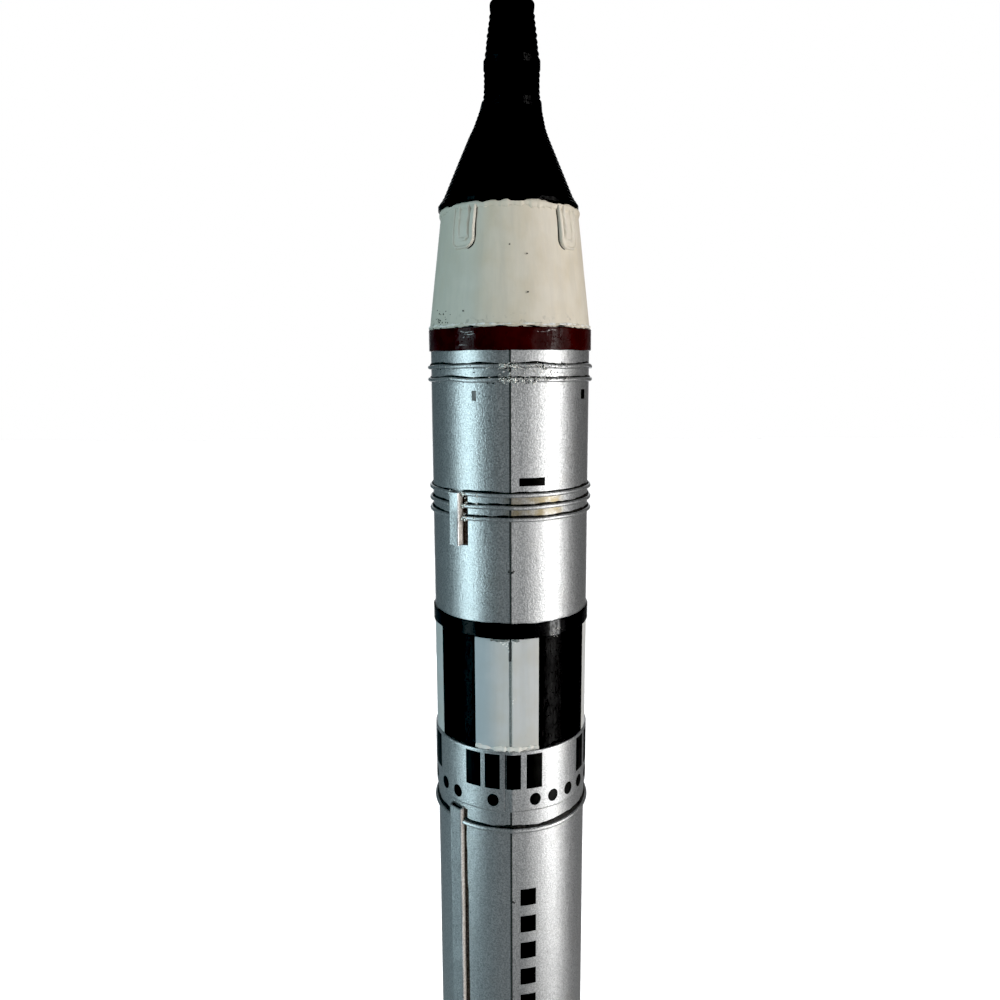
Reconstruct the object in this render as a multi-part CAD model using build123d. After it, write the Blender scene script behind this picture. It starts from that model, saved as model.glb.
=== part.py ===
from build123d import *
import os

# Display model of a two-stage rocket with a bell-shaped crew cabin, built from rolled
# sheet metal and standing in a ring on a turned wooden base.
#
# Millimetres, +Z up. The origin is the middle of the felt under the base.
# The lap seams of the skins face -Y, which is the front. Azimuths round the rocket are
# in degrees from the front towards +X, so 90 is the right-hand side.
# It comes apart in four: base, first stage, second stage and spacecraft, each of which
# lifts straight up out of the one below.

# Sheet metal
SKIN_RADIUS = 31.75
SHEET = 0.5
BORE_RADIUS = SKIN_RADIUS - SHEET
FIT_GAP = 0.08
DISC_THICKNESS = 0.8

# Stand
FELT_RADIUS = 68.0
FELT_TOP = 1.5
BOARD_RADIUS = 70.0
BOARD_TOP = 13.5
BOARD_EDGE = 3.0
POST_COUNT = 4
POST_RADIUS = 4.0
POST_CIRCLE = 36.0
POST_FOOT_DEPTH = 6.0
FIRST_POST_AZIMUTH = 45.0
RING_BORE = 29.0
RING_RADIUS = 41.0
RING_THICKNESS = 4.0
RING_LIP_HEIGHT = 4.0
SCREW_RADIUS = 1.5
SCREW_HEAD_RADIUS = 2.8
SCREW_HEAD_HEIGHT = 1.8
SCREW_SLOT_WIDTH = 0.7
SCREW_SLOT_DEPTH = 0.8
SCREW_GRIP = 10.0

# Heights of the rocket's joints
TAIL = 56.0
INTERSTAGE_BOTTOM = 391.2
STAGE_JOINT = 474.5
SPACECRAFT_JOINT = 590.0
HEAT_SHIELD_BOTTOM = 635.0

# Heights of the screws, in the board and in the ring under the tail
LOWER_HEAD_TOP = FELT_TOP + SCREW_HEAD_HEIGHT
LOWER_SCREW_END = LOWER_HEAD_TOP + SCREW_GRIP
UPPER_SCREW_END = TAIL - SCREW_GRIP
RING_BOTTOM = TAIL - RING_THICKNESS

# Bands and hoops
BAND_THICKNESS = 0.7
AFT_BAND_TOP = 66.0
INTERSTAGE_BAND_BOTTOM = 399.4
INTERSTAGE_BAND_TOP = 425.3
BLACK_BAND_BOTTOM = 471.8
BLACK_BAND_TOP = 477.9
MAROON_BAND_BOTTOM = 581.7
BEAD_RADIUS = 1.75
HOOP_WIRE_RADIUS = 0.8
HOOP_PROUD = 1.45
FIRST_STAGE_HOOPS = {
    "tail_hoop_1": 84.0,
    "tail_hoop_2": 92.0,
    "tank_hoop_1": 226.0,
    "tank_hoop_2": 230.6,
    "tank_hoop_3": 235.2,
}
SECOND_STAGE_HOOPS = {
    "middle_hoop_1": 518.8,
    "middle_hoop_2": 523.4,
    "middle_hoop_3": 528.0,
    "upper_hoop_1": 571.0,
    "upper_hoop_2": 575.8,
}

# Raceways: channels of bent sheet that cover the cables
RACEWAY_CORNER = 0.7
RACEWAY_ROOT = 3.0
FRONT_RACEWAY = {"azimuth": -43.3, "width": 6.7, "proud": 2.0, "bottom": AFT_BAND_TOP, "top": 398.0}
REAR_RACEWAY = {"azimuth": 136.7, "width": 6.7, "proud": 2.0, "bottom": AFT_BAND_TOP, "top": 388.0}
SHORT_RACEWAY = {"azimuth": -39.2, "width": 4.9, "proud": 3.0, "bottom": 507.9, "top": 529.3}

# Sleeves inside the joints
SLEEVE_WALL = 0.6
SPLICE_REACH = 10.0
COUPLER_REACH = 18.0
ADAPTER_PLUG_REACH = 14.0
ADAPTER_PLUG_HEIGHT = 6.0

# Discs that close the tubes
FORWARD_BULKHEAD_TOP = STAGE_JOINT - COUPLER_REACH - 6.0
LOWER_BULKHEAD_BOTTOM = STAGE_JOINT - COUPLER_REACH + 1.0
UPPER_BULKHEAD_TOP = SPACECRAFT_JOINT - ADAPTER_PLUG_REACH - 4.0

# Engines
THRUST_PLATE_BOTTOM = 66.0
ENGINE_OFFSET = 14.0
CHAMBER_RADIUS = 4.6
CHAMBER_BOTTOM = 58.0
THROAT_RADIUS = 3.2
THROAT_HEIGHT = 54.0
BELL_RADIUS = 11.0
BELL_BOTTOM = 22.0
BELL_SHOULDER = (9.0, 45.0)
BELL_SKIRT = (10.5, 34.0)
BELL_WALL = 0.6
EXHAUST_RADIUS = 2.0
EXHAUST_WALL = 0.4
EXHAUST_BOTTOM = 44.0

# Spacecraft
ADAPTER_BOTTOM_RADIUS = 32.0
ADAPTER_TOP_RADIUS = 26.7
FAIRING_AZIMUTHS = (-38.0, 51.0, 142.0, 232.0)
FAIRING_WIDTH = 10.9
FAIRING_BOTTOM = 618.2
FAIRING_CORNER = 3.4
FAIRING_PROUD = 1.1
HEAT_SHIELD_RADIUS = 27.4
HEAT_SHIELD_TOP = 637.0
CABIN_PROFILE = [(27.1, HEAT_SHIELD_TOP), (25.2, 639.9), (17.1, 658.4), (13.9, 665.7), (12.1, 671.7)]
CABIN_WALL = 0.6
COLLAR_TOP_RADIUS = 11.5
COLLAR_TOP = 675.3
COLLAR_BORE = 9.5
THRUSTER_BOTTOM_RADIUS = 11.0
THRUSTER_TOP_RADIUS = 10.75
THRUSTER_TOP = 686.9
RIDGE_RADIUS = 11.05
RIDGE_TOP = 689.9
RADAR_BOTTOM_RADIUS = 10.7
RADAR_TOP_RADIUS = 8.4
RADAR_TOP = 708.1
NOSE_RIM_RADIUS = 8.5
NOSE_RIM_TOP = 709.8
NOSE_CHAMFER_RADIUS = 7.1
NOSE_CHAMFER_TOP = 711.5
NOSE_TOP = 713.5


def turned(*points):
    """Revolve a closed outline of (radius, height) points round the rocket's axis."""
    outline = Plane.XZ * Polyline(*points, close=True)
    return revolve(make_face(outline), Axis.Z)


def tube(outer, inner, bottom, top):
    return turned((inner, bottom), (outer, bottom), (outer, top), (inner, top))


def disc(radius, bottom, top):
    return turned((0, bottom), (radius, bottom), (radius, top), (0, top))


def at_azimuth(shape, azimuth):
    """Carry a shape made at the front round to its azimuth."""
    return Rot(0, 0, azimuth) * shape


# ---------------------------------------------------------------- raceways and hoops

def raceway_block(azimuth, width, proud, bottom, top, shrink=0.0):
    """The solid form of a raceway, or with shrink, of the space inside it."""
    depth = proud + RACEWAY_ROOT - shrink
    middle = SKIN_RADIUS + proud - shrink - depth / 2
    block = Pos(0, -middle, (bottom + top) / 2) * Box(width - 2 * shrink, depth, top - bottom)
    if not shrink:
        outer_edges = block.edges().filter_by(Axis.Z).group_by(Axis.Y)[0]
        block = fillet(outer_edges, RACEWAY_CORNER)
    return at_azimuth(block, azimuth)


def raceway(channel):
    core = disc(SKIN_RADIUS, channel["bottom"], channel["top"])
    return raceway_block(**channel) - raceway_block(**channel, shrink=SHEET) - core


def hoop(height, channels, wire_radius=HOOP_WIRE_RADIUS, proud=HOOP_PROUD):
    """A wire soldered round a skin, cut where a raceway crosses it."""
    section = Plane.XZ * Pos(SKIN_RADIUS + proud - wire_radius, height) * Circle(wire_radius)
    wire = revolve(section, Axis.Z)
    wire -= disc(SKIN_RADIUS, height - 2 * wire_radius, height + 2 * wire_radius)
    for channel in channels:
        wire -= raceway_block(**channel)
    return wire


# ---------------------------------------------------------------- stand

def around_posts(shape):
    """Copies of a shape made on the axis, one over each post."""
    places = PolarLocations(POST_CIRCLE, POST_COUNT, start_angle=FIRST_POST_AZIMUTH)
    return [place * shape for place in places]


def screw(head_bottom, points_down):
    """A slotted screw with a flat face at head_bottom and a shank of SCREW_GRIP beyond it."""
    direction = -1 if points_down else 1
    shank_middle = head_bottom + direction * SCREW_GRIP / 2
    head_middle = head_bottom - direction * SCREW_HEAD_HEIGHT / 2
    slot_middle = head_bottom - direction * (SCREW_HEAD_HEIGHT - SCREW_SLOT_DEPTH / 2)
    body = Pos(0, 0, shank_middle) * Cylinder(SCREW_RADIUS, SCREW_GRIP)
    body += Pos(0, 0, head_middle) * Cylinder(SCREW_HEAD_RADIUS, SCREW_HEAD_HEIGHT)
    slot = Box(2 * SCREW_HEAD_RADIUS, SCREW_SLOT_WIDTH, SCREW_SLOT_DEPTH)
    return body - Pos(0, 0, slot_middle) * slot


def base_board():
    board = disc(BOARD_RADIUS, FELT_TOP, BOARD_TOP)
    board = fillet(board.edges().group_by(Axis.Z)[-1], BOARD_EDGE)
    foot_hole = Pos(0, 0, BOARD_TOP - POST_FOOT_DEPTH / 2) * Cylinder(POST_RADIUS, POST_FOOT_DEPTH)
    head_hole = disc(SCREW_HEAD_RADIUS, FELT_TOP, LOWER_HEAD_TOP)
    shank_hole = disc(SCREW_RADIUS, FELT_TOP, BOARD_TOP)
    for hole in around_posts(foot_hole) + around_posts(head_hole) + around_posts(shank_hole):
        board -= hole
    return board


def stand_post():
    """A post with its foot let into the board and a screw hole in each end."""
    post = disc(POST_RADIUS, BOARD_TOP - POST_FOOT_DEPTH, RING_BOTTOM)
    post -= disc(SCREW_RADIUS, BOARD_TOP - POST_FOOT_DEPTH, LOWER_SCREW_END)
    return post - disc(SCREW_RADIUS, UPPER_SCREW_END, RING_BOTTOM)


def launch_ring():
    """A flat ring that the tail stands on, with a lip that stands up inside the skin."""
    lip_radius = BORE_RADIUS - FIT_GAP
    ring = turned(
        (RING_BORE, RING_BOTTOM),
        (RING_RADIUS, RING_BOTTOM),
        (RING_RADIUS, TAIL),
        (lip_radius, TAIL),
        (lip_radius, TAIL + RING_LIP_HEIGHT),
        (RING_BORE, TAIL + RING_LIP_HEIGHT),
    )
    for hole in around_posts(disc(SCREW_RADIUS, RING_BOTTOM, TAIL)):
        ring -= hole
    return ring


def stand_nodes():
    nodes = {
        "base_felt": disc(FELT_RADIUS, 0, FELT_TOP),
        "base_board": base_board(),
        "launch_ring": launch_ring(),
        "post_screws": Compound(children=around_posts(screw(LOWER_HEAD_TOP, points_down=False))),
        "ring_screws": Compound(children=around_posts(screw(TAIL, points_down=True))),
    }
    for number, post in enumerate(around_posts(stand_post()), start=1):
        nodes[f"stand_post_{number}"] = post
    return nodes


# ---------------------------------------------------------------- first stage

def engine_bell():
    """A thin bell that opens downwards, made on the axis."""
    def wall(inset):
        points = [(THROAT_RADIUS, THROAT_HEIGHT), BELL_SHOULDER, BELL_SKIRT, (BELL_RADIUS, BELL_BOTTOM)]
        return [(radius - inset, height) for radius, height in points]

    outside = wall(0)
    inside = wall(BELL_WALL)
    edges = [
        Bezier(*outside),
        Line(outside[-1], inside[-1]),
        Bezier(*inside),
        Line(inside[0], outside[0]),
    ]
    return revolve(make_face(Plane.XZ * Wire(edges)), Axis.Z)


def engine_chamber():
    """The combustion chamber between the thrust plate and the bell's throat."""
    return turned(
        (0, THROAT_HEIGHT),
        (THROAT_RADIUS, THROAT_HEIGHT),
        (CHAMBER_RADIUS, CHAMBER_BOTTOM),
        (CHAMBER_RADIUS, THRUST_PLATE_BOTTOM),
        (0, THRUST_PLATE_BOTTOM),
    )


def exhaust_pipe():
    return tube(EXHAUST_RADIUS, EXHAUST_RADIUS - EXHAUST_WALL, EXHAUST_BOTTOM, THRUST_PLATE_BOTTOM)


def black_band():
    """A collar round the stage joint: tight on the tube below, easy on the one above."""
    outer = SKIN_RADIUS + BAND_THICKNESS
    easy = SKIN_RADIUS + FIT_GAP
    return turned(
        (SKIN_RADIUS, BLACK_BAND_BOTTOM),
        (outer, BLACK_BAND_BOTTOM),
        (outer, BLACK_BAND_TOP),
        (easy, BLACK_BAND_TOP),
        (easy, STAGE_JOINT),
        (SKIN_RADIUS, STAGE_JOINT),
    )


def first_stage_nodes():
    channels = (FRONT_RACEWAY, REAR_RACEWAY)
    sleeve_bore = BORE_RADIUS - SLEEVE_WALL
    band_radius = SKIN_RADIUS + BAND_THICKNESS
    nodes = {
        "first_stage_skin": tube(SKIN_RADIUS, BORE_RADIUS, TAIL, INTERSTAGE_BOTTOM),
        "interstage_skin": tube(SKIN_RADIUS, BORE_RADIUS, INTERSTAGE_BOTTOM, STAGE_JOINT),
        "splice_sleeve": tube(
            BORE_RADIUS, sleeve_bore, INTERSTAGE_BOTTOM - SPLICE_REACH, INTERSTAGE_BOTTOM + SPLICE_REACH
        ),
        "splice_bead": hoop(INTERSTAGE_BOTTOM, channels, BEAD_RADIUS, BEAD_RADIUS),
        "aft_band": tube(band_radius, SKIN_RADIUS, TAIL, AFT_BAND_TOP),
        "interstage_band": tube(
            band_radius, SKIN_RADIUS, INTERSTAGE_BAND_BOTTOM, INTERSTAGE_BAND_TOP
        ),
        "black_band": black_band(),
        "forward_bulkhead": disc(
            BORE_RADIUS, FORWARD_BULKHEAD_TOP - DISC_THICKNESS, FORWARD_BULKHEAD_TOP
        ),
        "thrust_plate": disc(BORE_RADIUS, THRUST_PLATE_BOTTOM, THRUST_PLATE_BOTTOM + DISC_THICKNESS),
        "front_raceway": raceway(FRONT_RACEWAY),
        "rear_raceway": raceway(REAR_RACEWAY),
    }
    for name, height in FIRST_STAGE_HOOPS.items():
        nodes[name] = hoop(height, channels)
    for number, side in enumerate((-1, 1), start=1):
        engine_place = Pos(side * ENGINE_OFFSET, 0, 0)
        exhaust_place = Pos(side * ENGINE_OFFSET, side * ENGINE_OFFSET, 0)
        nodes[f"engine_bell_{number}"] = engine_place * engine_bell()
        nodes[f"engine_chamber_{number}"] = engine_place * engine_chamber()
        nodes[f"exhaust_pipe_{number}"] = exhaust_place * exhaust_pipe()
    return nodes


# ---------------------------------------------------------------- second stage

def coupler_sleeve():
    """Soldered into the second stage and an easy fit in the interstage below it."""
    bore = BORE_RADIUS - SLEEVE_WALL
    easy = BORE_RADIUS - FIT_GAP
    bottom = STAGE_JOINT - COUPLER_REACH
    return turned(
        (bore, bottom),
        (easy, bottom),
        (easy, STAGE_JOINT),
        (BORE_RADIUS, STAGE_JOINT),
        (BORE_RADIUS, STAGE_JOINT + SPLICE_REACH),
        (bore, STAGE_JOINT + SPLICE_REACH),
    )


def second_stage_nodes():
    coupler_bore = BORE_RADIUS - SLEEVE_WALL
    maroon_radius = SKIN_RADIUS + BAND_THICKNESS
    nodes = {
        "second_stage_skin": tube(SKIN_RADIUS, BORE_RADIUS, STAGE_JOINT, SPACECRAFT_JOINT),
        "coupler_sleeve": coupler_sleeve(),
        "lower_bulkhead": disc(
            coupler_bore, LOWER_BULKHEAD_BOTTOM, LOWER_BULKHEAD_BOTTOM + DISC_THICKNESS
        ),
        "upper_bulkhead": disc(BORE_RADIUS, UPPER_BULKHEAD_TOP - DISC_THICKNESS, UPPER_BULKHEAD_TOP),
        "maroon_band": tube(maroon_radius, SKIN_RADIUS, MAROON_BAND_BOTTOM, SPACECRAFT_JOINT),
        "short_raceway": raceway(SHORT_RACEWAY),
    }
    for name, height in SECOND_STAGE_HOOPS.items():
        nodes[name] = hoop(height, (SHORT_RACEWAY,))
    return nodes


# ---------------------------------------------------------------- spacecraft

def adapter_radius(height, offset=0.0):
    """Radius of the adapter's outside cone at a height, moved out by offset."""
    share = (height - SPACECRAFT_JOINT) / (HEAT_SHIELD_BOTTOM - SPACECRAFT_JOINT)
    return ADAPTER_BOTTOM_RADIUS + share * (ADAPTER_TOP_RADIUS - ADAPTER_BOTTOM_RADIUS) + offset


def adapter_cone(offset=0.0):
    top_radius = adapter_radius(HEAT_SHIELD_BOTTOM, offset)
    bottom_radius = adapter_radius(SPACECRAFT_JOINT, offset)
    return turned(
        (0, SPACECRAFT_JOINT),
        (bottom_radius, SPACECRAFT_JOINT),
        (top_radius, HEAT_SHIELD_BOTTOM),
        (0, HEAT_SHIELD_BOTTOM),
    )


def adapter_plug():
    """Soldered into the adapter's foot and an easy fit in the second stage's open top."""
    bore = BORE_RADIUS - SLEEVE_WALL - FIT_GAP
    easy = BORE_RADIUS - FIT_GAP
    plug_top = SPACECRAFT_JOINT + ADAPTER_PLUG_HEIGHT
    return turned(
        (bore, SPACECRAFT_JOINT - ADAPTER_PLUG_REACH),
        (easy, SPACECRAFT_JOINT - ADAPTER_PLUG_REACH),
        (easy, SPACECRAFT_JOINT),
        (adapter_radius(SPACECRAFT_JOINT, -SHEET), SPACECRAFT_JOINT),
        (adapter_radius(plug_top, -SHEET), plug_top),
        (adapter_radius(plug_top, -SHEET) - SLEEVE_WALL, plug_top),
        (bore, SPACECRAFT_JOINT + SLEEVE_WALL),
    )


def adapter_fairing():
    """A shallow pad with a rounded lower end, standing proud of the adapter at the front."""
    height = HEAT_SHIELD_BOTTOM - FAIRING_BOTTOM
    middle = (HEAT_SHIELD_BOTTOM + FAIRING_BOTTOM) / 2
    block = Pos(0, -ADAPTER_BOTTOM_RADIUS, middle) * Box(FAIRING_WIDTH, ADAPTER_BOTTOM_RADIUS, height)
    lower_edges = block.edges().filter_by(Axis.Y).group_by(Axis.Z)[0]
    block = fillet(lower_edges, FAIRING_CORNER)
    return (block & adapter_cone(FAIRING_PROUD)) - adapter_cone()


def cabin_shell():
    outside = CABIN_PROFILE
    inside = [(radius - CABIN_WALL, height) for radius, height in reversed(CABIN_PROFILE)]
    return turned(*outside, *inside)


def nose_cap():
    """A low-domed lid with a chamfered rim."""
    chamfer_top = (NOSE_CHAMFER_RADIUS, NOSE_CHAMFER_TOP)
    foot = (RADAR_TOP_RADIUS, RADAR_TOP)
    side = Polyline((0, RADAR_TOP), foot, (NOSE_RIM_RADIUS, NOSE_RIM_TOP), chamfer_top)
    crown = TangentArc((0, NOSE_TOP), chamfer_top, tangent=(1, 0))
    axis = Line((0, NOSE_TOP), (0, RADAR_TOP))
    return revolve(make_face(Plane.XZ * Wire([*side.edges(), crown, axis])), Axis.Z)


def cone_ring(bottom_radius, top_radius, bottom, top, wall):
    return turned(
        (bottom_radius - wall, bottom),
        (bottom_radius, bottom),
        (top_radius, top),
        (top_radius - wall, top),
    )


def spacecraft_nodes():
    cabin_top_radius, cabin_top = CABIN_PROFILE[-1]
    nodes = {
        "adapter_plug": adapter_plug(),
        "adapter_shell": cone_ring(
            ADAPTER_BOTTOM_RADIUS, ADAPTER_TOP_RADIUS, SPACECRAFT_JOINT, HEAT_SHIELD_BOTTOM, SHEET
        ),
        "heat_shield": disc(HEAT_SHIELD_RADIUS, HEAT_SHIELD_BOTTOM, HEAT_SHIELD_TOP),
        "cabin_shell": cabin_shell(),
        "cabin_collar": turned(
            (COLLAR_BORE, cabin_top),
            (cabin_top_radius, cabin_top),
            (COLLAR_TOP_RADIUS, COLLAR_TOP),
            (COLLAR_BORE, COLLAR_TOP),
        ),
        "thruster_section": cone_ring(
            THRUSTER_BOTTOM_RADIUS, THRUSTER_TOP_RADIUS, COLLAR_TOP, THRUSTER_TOP, CABIN_WALL
        ),
        "ridge_ring": tube(RIDGE_RADIUS, COLLAR_BORE, THRUSTER_TOP, RIDGE_TOP),
        "radar_section": cone_ring(
            RADAR_BOTTOM_RADIUS, RADAR_TOP_RADIUS, RIDGE_TOP, RADAR_TOP, CABIN_WALL
        ),
        "nose_cap": nose_cap(),
    }
    for number, azimuth in enumerate(FAIRING_AZIMUTHS, start=1):
        nodes[f"adapter_fairing_{number}"] = at_azimuth(adapter_fairing(), azimuth)
    return nodes


# ---------------------------------------------------------------- output

os.makedirs("parts", exist_ok=True)
all_nodes = {**stand_nodes(), **first_stage_nodes(), **second_stage_nodes(), **spacecraft_nodes()}
for node_name, node_shape in all_nodes.items():
    export_step(node_shape, f"parts/{node_name}.step")
    print(f"{node_name}: {node_shape.volume:.1f} mm3")
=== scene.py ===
import math
import random

import bmesh
import bpy
import numpy as np
from mathutils import Matrix, Vector, noise


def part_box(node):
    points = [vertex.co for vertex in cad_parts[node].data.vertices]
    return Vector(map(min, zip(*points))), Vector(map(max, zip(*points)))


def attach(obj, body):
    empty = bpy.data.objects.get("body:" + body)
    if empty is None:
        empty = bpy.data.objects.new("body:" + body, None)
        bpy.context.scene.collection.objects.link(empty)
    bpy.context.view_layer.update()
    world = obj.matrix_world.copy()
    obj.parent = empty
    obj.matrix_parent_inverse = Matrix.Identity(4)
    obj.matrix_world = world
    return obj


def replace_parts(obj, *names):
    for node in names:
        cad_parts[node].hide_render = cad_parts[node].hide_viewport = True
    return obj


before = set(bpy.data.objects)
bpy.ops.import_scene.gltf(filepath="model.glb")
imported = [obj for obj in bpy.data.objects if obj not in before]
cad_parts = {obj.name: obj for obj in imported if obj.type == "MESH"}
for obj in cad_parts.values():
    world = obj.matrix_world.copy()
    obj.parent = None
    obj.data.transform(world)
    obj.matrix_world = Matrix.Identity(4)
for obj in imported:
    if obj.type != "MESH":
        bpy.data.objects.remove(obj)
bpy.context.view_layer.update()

# A hand-made sheet-metal rocket on a turned stand. Lengths are in millimetres until a mesh
# is made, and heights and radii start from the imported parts. Azimuths are in degrees round
# the rocket from its front (-Y) towards +X. The skins' lap seams are at the front.

MM = 0.001


def low(node):
    """Height in mm of a part's lowest point."""
    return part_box(node)[0].z / MM


def high(node):
    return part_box(node)[1].z / MM


def reach(node):
    """A round part's outer radius in mm."""
    lowest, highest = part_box(node)
    return (highest.x - lowest.x) / 2 / MM


SKIN = reach("first_stage_skin")
SHEET = 0.5
BAND_THICKNESS = reach("interstage_band") - SKIN
TAIL = low("first_stage_skin")
INTERSTAGE = high("first_stage_skin")
STAGE_JOINT = low("second_stage_skin")
SPACECRAFT_JOINT = high("second_stage_skin")
HEAT_SHIELD = low("heat_shield")
ADAPTER_FOOT = reach("adapter_shell")
ADAPTER_NECK = reach("heat_shield") - 0.7

# --- rolled sheet metal ---

# The rolled sheets stay nearly flat beside their seam, so each skin comes to a slight edge there.
FLAT_RIGHT, FLAT_LEFT = 9.0, 6.5  # degrees
GROOVE_HALF_WIDTH = 0.75  # degrees
GROOVE_DEPTH = 0.32
GROOVE_SHARE = 0.6  # of a band's thickness
BAND_SEAM = -4.2
FINE_ARC = 12.0  # beside a seam, where the azimuths are closer together


def wrapped(azimuth):
    return (azimuth + 180.0) % 360.0 - 180.0


def seam_rise(azimuth):
    """How far the flat ends of a rolled skin stand proud of the circle."""
    away = wrapped(azimuth)
    flat = FLAT_RIGHT if away >= 0 else FLAT_LEFT
    short = math.radians(max(0.0, flat - abs(away)))
    return SKIN * (1 / math.cos(short) - 1)


def dent(azimuth, height, size=0.05, length=28.0):
    """Slow unevenness of hand-rolled sheet, in mm."""
    angle = math.radians(azimuth)
    spot = Vector((math.cos(angle) * SKIN, math.sin(angle) * SKIN, height * 0.6)) / length
    return noise.noise(spot) * size


def waver(place, seed, size):
    """Smooth unevenness along a line, in mm, for a place counted in units of its wavelength."""
    return noise.noise(Vector((place, seed * 7.31, 0.5))) * size


def in_groove(azimuth, seam):
    return abs(wrapped(azimuth - seam)) < GROOVE_HALF_WIDTH * 0.9


def skin_surface(azimuth, height):
    """Radius of the skins' painted outside."""
    groove = GROOVE_DEPTH if in_groove(azimuth, 0.0) else 0.0
    return SKIN + seam_rise(azimuth) + dent(azimuth, height) - groove


def band_surface(azimuth, height):
    """Radius of the interstage band's outside."""
    groove = BAND_THICKNESS * GROOVE_SHARE if in_groove(azimuth, BAND_SEAM) else 0.0
    return SKIN + BAND_THICKNESS + seam_rise(azimuth) + dent(azimuth, height) - groove


def adapter_surface(azimuth, height):
    """Radius of the adapter's slightly faceted cone."""
    share = (height - SPACECRAFT_JOINT) / (HEAT_SHIELD - SPACECRAFT_JOINT)
    cone = ADAPTER_FOOT + share * (ADAPTER_NECK - ADAPTER_FOOT)
    return cone + dent(azimuth, height, 0.22, 22.0)


def point(azimuth, radius, height):
    angle = math.radians(azimuth)
    return Vector((math.sin(angle) * radius, -math.cos(angle) * radius, height)) * MM


def steps(start, end, longest):
    """Evenly spaced values from start to end, no further apart than longest."""
    count = max(1, math.ceil(abs(end - start) / longest))
    return [start + (end - start) * i / count for i in range(count + 1)]


def placed(name, mesh, body, finish):
    """A smooth piece that rides on a body.

    Finish is a material's key, with a colon and a slot after it where the slot isn't its usual one.
    """
    key, colon, slot = finish.partition(":")
    slot = slot if colon else USUAL_SLOTS[key]
    for polygon in mesh.polygons:
        polygon.use_smooth = True
    mesh.materials.append(materials[key])
    piece = bpy.data.objects.new(name, mesh)
    bpy.context.scene.collection.objects.link(piece)
    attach(piece, body)
    return piece


def new_object(name, solid, body, finish, angle=None):
    """A piece from (vertices, faces), its doubled points merged and its faces turned outward.

    Edges where faces meet at more than an angle are sharp.
    """
    vertices, faces = solid
    mesh = bpy.data.meshes.new(name)
    mesh.from_pydata(vertices, [], faces)
    work = bmesh.new()
    work.from_mesh(mesh)
    bmesh.ops.remove_doubles(work, verts=work.verts, dist=1e-6)
    bmesh.ops.dissolve_degenerate(work, edges=work.edges, dist=1e-7)
    bmesh.ops.recalc_face_normals(work, faces=work.faces)
    work.to_mesh(mesh)
    work.free()
    piece = placed(name, mesh, body, finish)
    if angle:
        mesh.set_sharp_from_angle(angle=math.radians(angle))
    return piece


def grid_faces(rows, wrap):
    """Faces of a grid of vertex indices; wrap joins the last column to the first."""
    faces = []
    for lower, upper in zip(rows, rows[1:]):
        count = len(lower)
        for i in range(count if wrap else count - 1):
            j = (i + 1) % count
            faces.append((lower[i], lower[j], upper[j], upper[i]))
    return faces


def swept(rows, ring=False, ends=None):
    """Vertices and faces of a solid through rows of points: a closed ring, or a capped bar.

    Ends gives the faces that cap a bar, as places in a row, where one face isn't enough.
    """
    count = len(rows[0])
    grid = [range(i * count, (i + 1) * count) for i in range(len(rows))]
    vertices = [vertex for row in rows for vertex in row]
    if ring:
        return vertices, grid_faces([*grid, grid[0]], wrap=True)
    faces = grid_faces(grid, wrap=True)
    for line, flip in ((grid[0], -1), (grid[-1], 1)):
        faces += [tuple(line[i] for i in end)[::flip] for end in ends or [range(count)]]
    return vertices, faces


def joined(solids):
    """Several (vertices, faces) as one."""
    vertices, faces = [], []
    for more, its_faces in solids:
        faces += [tuple(i + len(vertices) for i in face) for face in its_faces]
        vertices += more
    return vertices, faces


def plate(outer, inner):
    """Vertices and faces of a thin solid between two grids of points."""
    across = len(outer[0])
    rows = [[i * across + j for j in range(across)] for i in range(len(outer))]
    count = across * len(outer)
    back = [[i + count for i in row] for row in rows]
    rim = [*rows[0], *[r[-1] for r in rows[1:]], *rows[-1][-2::-1], *[r[0] for r in rows[-2:0:-1]]]
    faces = grid_faces(rows, wrap=False)
    faces += [face[::-1] for face in grid_faces(back, wrap=False)]
    faces += [(j, i, i + count, j + count) for i, j in zip(rim, rim[1:] + rim[:1])]
    return [vertex for row in outer + inner for vertex in row], faces


def ring_solid(name, section, azimuths, shape, body, finish, angle):
    """A closed ring: a section of (radius, height) points carried round through azimuths.

    shape(azimuth, radius, height) gives the place of each section point at each azimuth.
    """
    rows = [[shape(azimuth, radius, height) for radius, height in section] for azimuth in azimuths]
    return new_object(name, swept(rows, ring=True), body, finish, angle)


def around(seam):
    """Azimuths once round from a seam, with a narrow groove's edges at the seam."""
    edge = GROOVE_HALF_WIDTH
    fine = [seam + edge + a for a in steps(0, FINE_ARC, 1.0)]
    coarse = steps(fine[-1], seam + 360 - FINE_ARC - edge, 2.0)[1:]
    last = [seam + 360 - FINE_ARC - edge + a for a in steps(0, FINE_ARC, 1.0)][1:]
    groove = [seam + 360 - edge * 0.7, seam + 360 + edge * 0.7]
    return fine + coarse + last + groove


def rolled_sheet(name, node, body, finish):
    """A rolled skin with a groove at its lap seam, standing for a CAD tube."""
    bottom, top = low(node), high(node)
    bevel = 0.12
    azimuths = around(0.0)
    rows = []
    for height in [bottom, bottom + bevel, *steps(bottom + 2, top - 2, 3.0), top - bevel, top]:
        inset = bevel if height in (bottom, top) else 0.0
        rows.append([point(a, skin_surface(a, height) - inset, height) for a in azimuths])
    rows += [[point(a, SKIN - SHEET, height) for a in azimuths] for height in (top, bottom)]
    piece = new_object(name, swept(rows, ring=True), body, finish, 35.0)
    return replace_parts(piece, node)


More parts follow.
